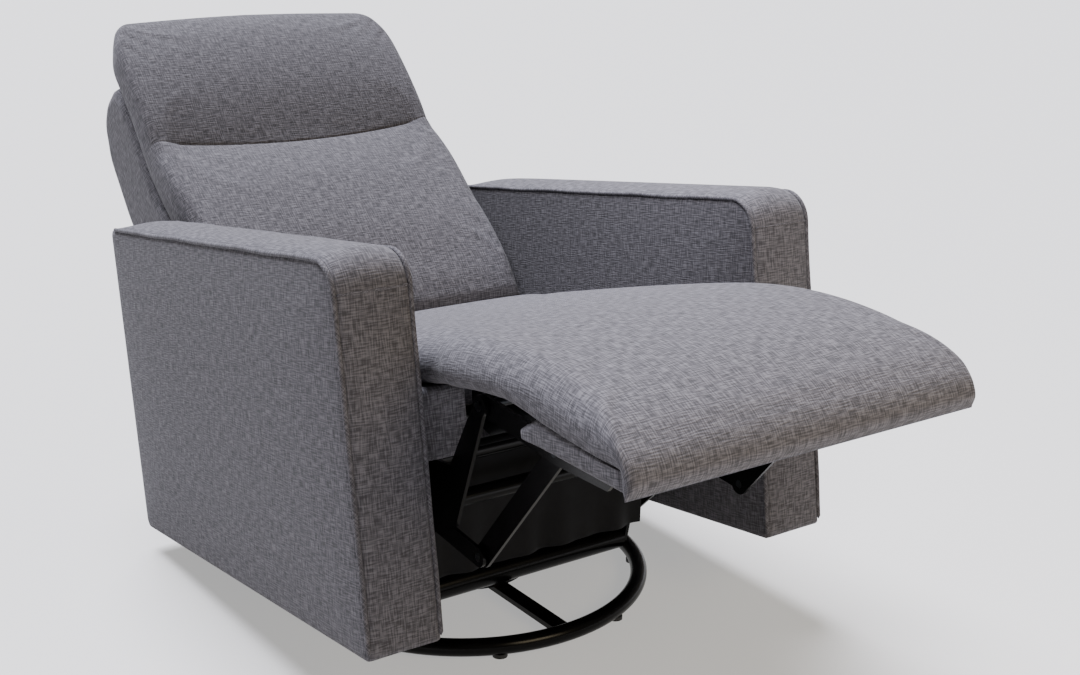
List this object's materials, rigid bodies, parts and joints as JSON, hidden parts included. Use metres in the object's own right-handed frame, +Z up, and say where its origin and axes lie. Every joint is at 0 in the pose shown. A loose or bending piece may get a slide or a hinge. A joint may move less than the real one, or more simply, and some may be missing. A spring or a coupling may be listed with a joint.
{
  "type": "glider nursery chair",
  "caption": "Upholstered swivel glider recliner with square padded arms, a reclining two-cushion back and a padded fold-out footrest on a round steel base.",
  "frame": {"origin": "on the floor, under the middle of the chair's length and width in the reclined pose", "axes": "+Z up, the chair faces -Y, +X across"},
  "size_m": [0.762, 1.5332, 0.8003],
  "materials": {
    "upholstery_fabric": "heathered grey linen-look weave, matt",
    "painted_steel": "black satin paint",
    "zinc_steel": "zinc plated",
    "black_plastic": "moulded",
    "white_plastic": "moulded, slippery",
    "frame_timber": "planed, unfinished",
    "webbing": "woven elastic strap"
  },
  "bodies": {
    "base": {"base_ring": "painted_steel", "floor_glides": "black_plastic", "cross_legs": "painted_steel", "lower_swivel_plate": "painted_steel", "swivel_washer": "white_plastic", "king_bolt": "zinc_steel", "king_nut": "zinc_steel"},
    "swivel": {"upper_swivel_plate": "painted_steel", "swivel_channels": "painted_steel", "front_cross_tube": "painted_steel", "rear_cross_tube": "painted_steel", "glide_posts": "painted_steel", "upper_pivot_pins": "zinc_steel"},
    "front_links": {"front_glide_links": "painted_steel"},
    "rear_links": {"rear_glide_links": "painted_steel"},
    "chassis": {"mechanism_plate_left": "painted_steel", "mechanism_plate_right": "painted_steel", "lower_pivot_pins": "zinc_steel", "front_stretcher": "painted_steel", "rear_stretcher": "painted_steel", "seat_rail_left": "frame_timber", "seat_rail_right": "frame_timber", "seat_block_left": "upholstery_fabric", "seat_block_right": "upholstery_fabric", "seat_straps": "webbing", "rear_panel": "upholstery_fabric", "arm_cover_left": "upholstery_fabric", "arm_cover_right": "upholstery_fabric", "arm_frame_left": "frame_timber", "arm_frame_right": "frame_timber", "rail_bolts": "zinc_steel", "seat_pad": "upholstery_fabric", "footrest_hinge_rod": "zinc_steel", "back_pivot_pins": "zinc_steel"},
    "backrest": {"back_hinge_plates": "painted_steel", "back_frame": "frame_timber", "back_straps": "webbing", "back_shell": "upholstery_fabric", "lumbar_cushion": "upholstery_fabric", "headrest_cushion": "upholstery_fabric"},
    "footrest": {"footrest_wrap": "upholstery_fabric", "footrest_board": "frame_timber", "footrest_pad": "upholstery_fabric", "footrest_arms": "painted_steel", "footrest_pins": "zinc_steel"},
    "crank": {"torque_tube": "painted_steel", "footrest_cranks": "painted_steel", "crank_pins": "zinc_steel"},
    "footrest_link": {"footrest_links": "painted_steel"}
  },
  "joints": [
    {"name": "swivel", "type": "hinge", "parent": "base", "child": "swivel", "pos_m": [0, -0.022, 0.032], "axis": [0, 0, 1], "continuous": true},
    {"name": "glide", "type": "hinge", "parent": "swivel", "child": "front_links", "pos_m": [0, -0.16983, 0.22061], "axis": [-1, 0, 0], "range_deg": [0, 40]},
    {"name": "carriage_tilt", "type": "hinge", "parent": "front_links", "child": "chassis", "pos_m": [0, -0.13129, 0.11587], "axis": [-1, 0, 0], "range_deg": [-49.5, 0.5]},
    {"name": "rear_link_swing", "type": "hinge", "parent": "swivel", "child": "rear_links", "pos_m": [0, 0.13096, 0.22242], "axis": [-1, 0, 0], "range_deg": [-0.5, 33.6]},
    {"name": "recline", "type": "hinge", "parent": "chassis", "child": "backrest", "pos_m": [0, 0.26734, 0.35434], "axis": [1, 0, 0], "range_deg": [0, 30]},
    {"name": "footrest", "type": "hinge", "parent": "chassis", "child": "footrest", "pos_m": [0, -0.42683, 0.44527], "axis": [1, 0, 0], "range_deg": [0, 81]},
    {"name": "crank_turn", "type": "hinge", "parent": "chassis", "child": "crank", "pos_m": [0, -0.26064, 0.25192], "axis": [1, 0, 0], "range_deg": [-0.5, 81.5]},
    {"name": "link_swing", "type": "hinge", "parent": "crank", "child": "footrest_link", "pos_m": [0, -0.40884, 0.23714], "axis": [1, 0, 0], "range_deg": [-81.5, 0.5]}
  ],
  "couplings": [
    {"joint": "carriage_tilt", "follows": "glide", "ratio": -1.225},
    {"joint": "rear_link_swing", "follows": "glide", "ratio": 0.8274},
    {"joint": "crank_turn", "follows": "footrest", "ratio": 1},
    {"joint": "link_swing", "follows": "footrest", "ratio": -1}
  ]
}
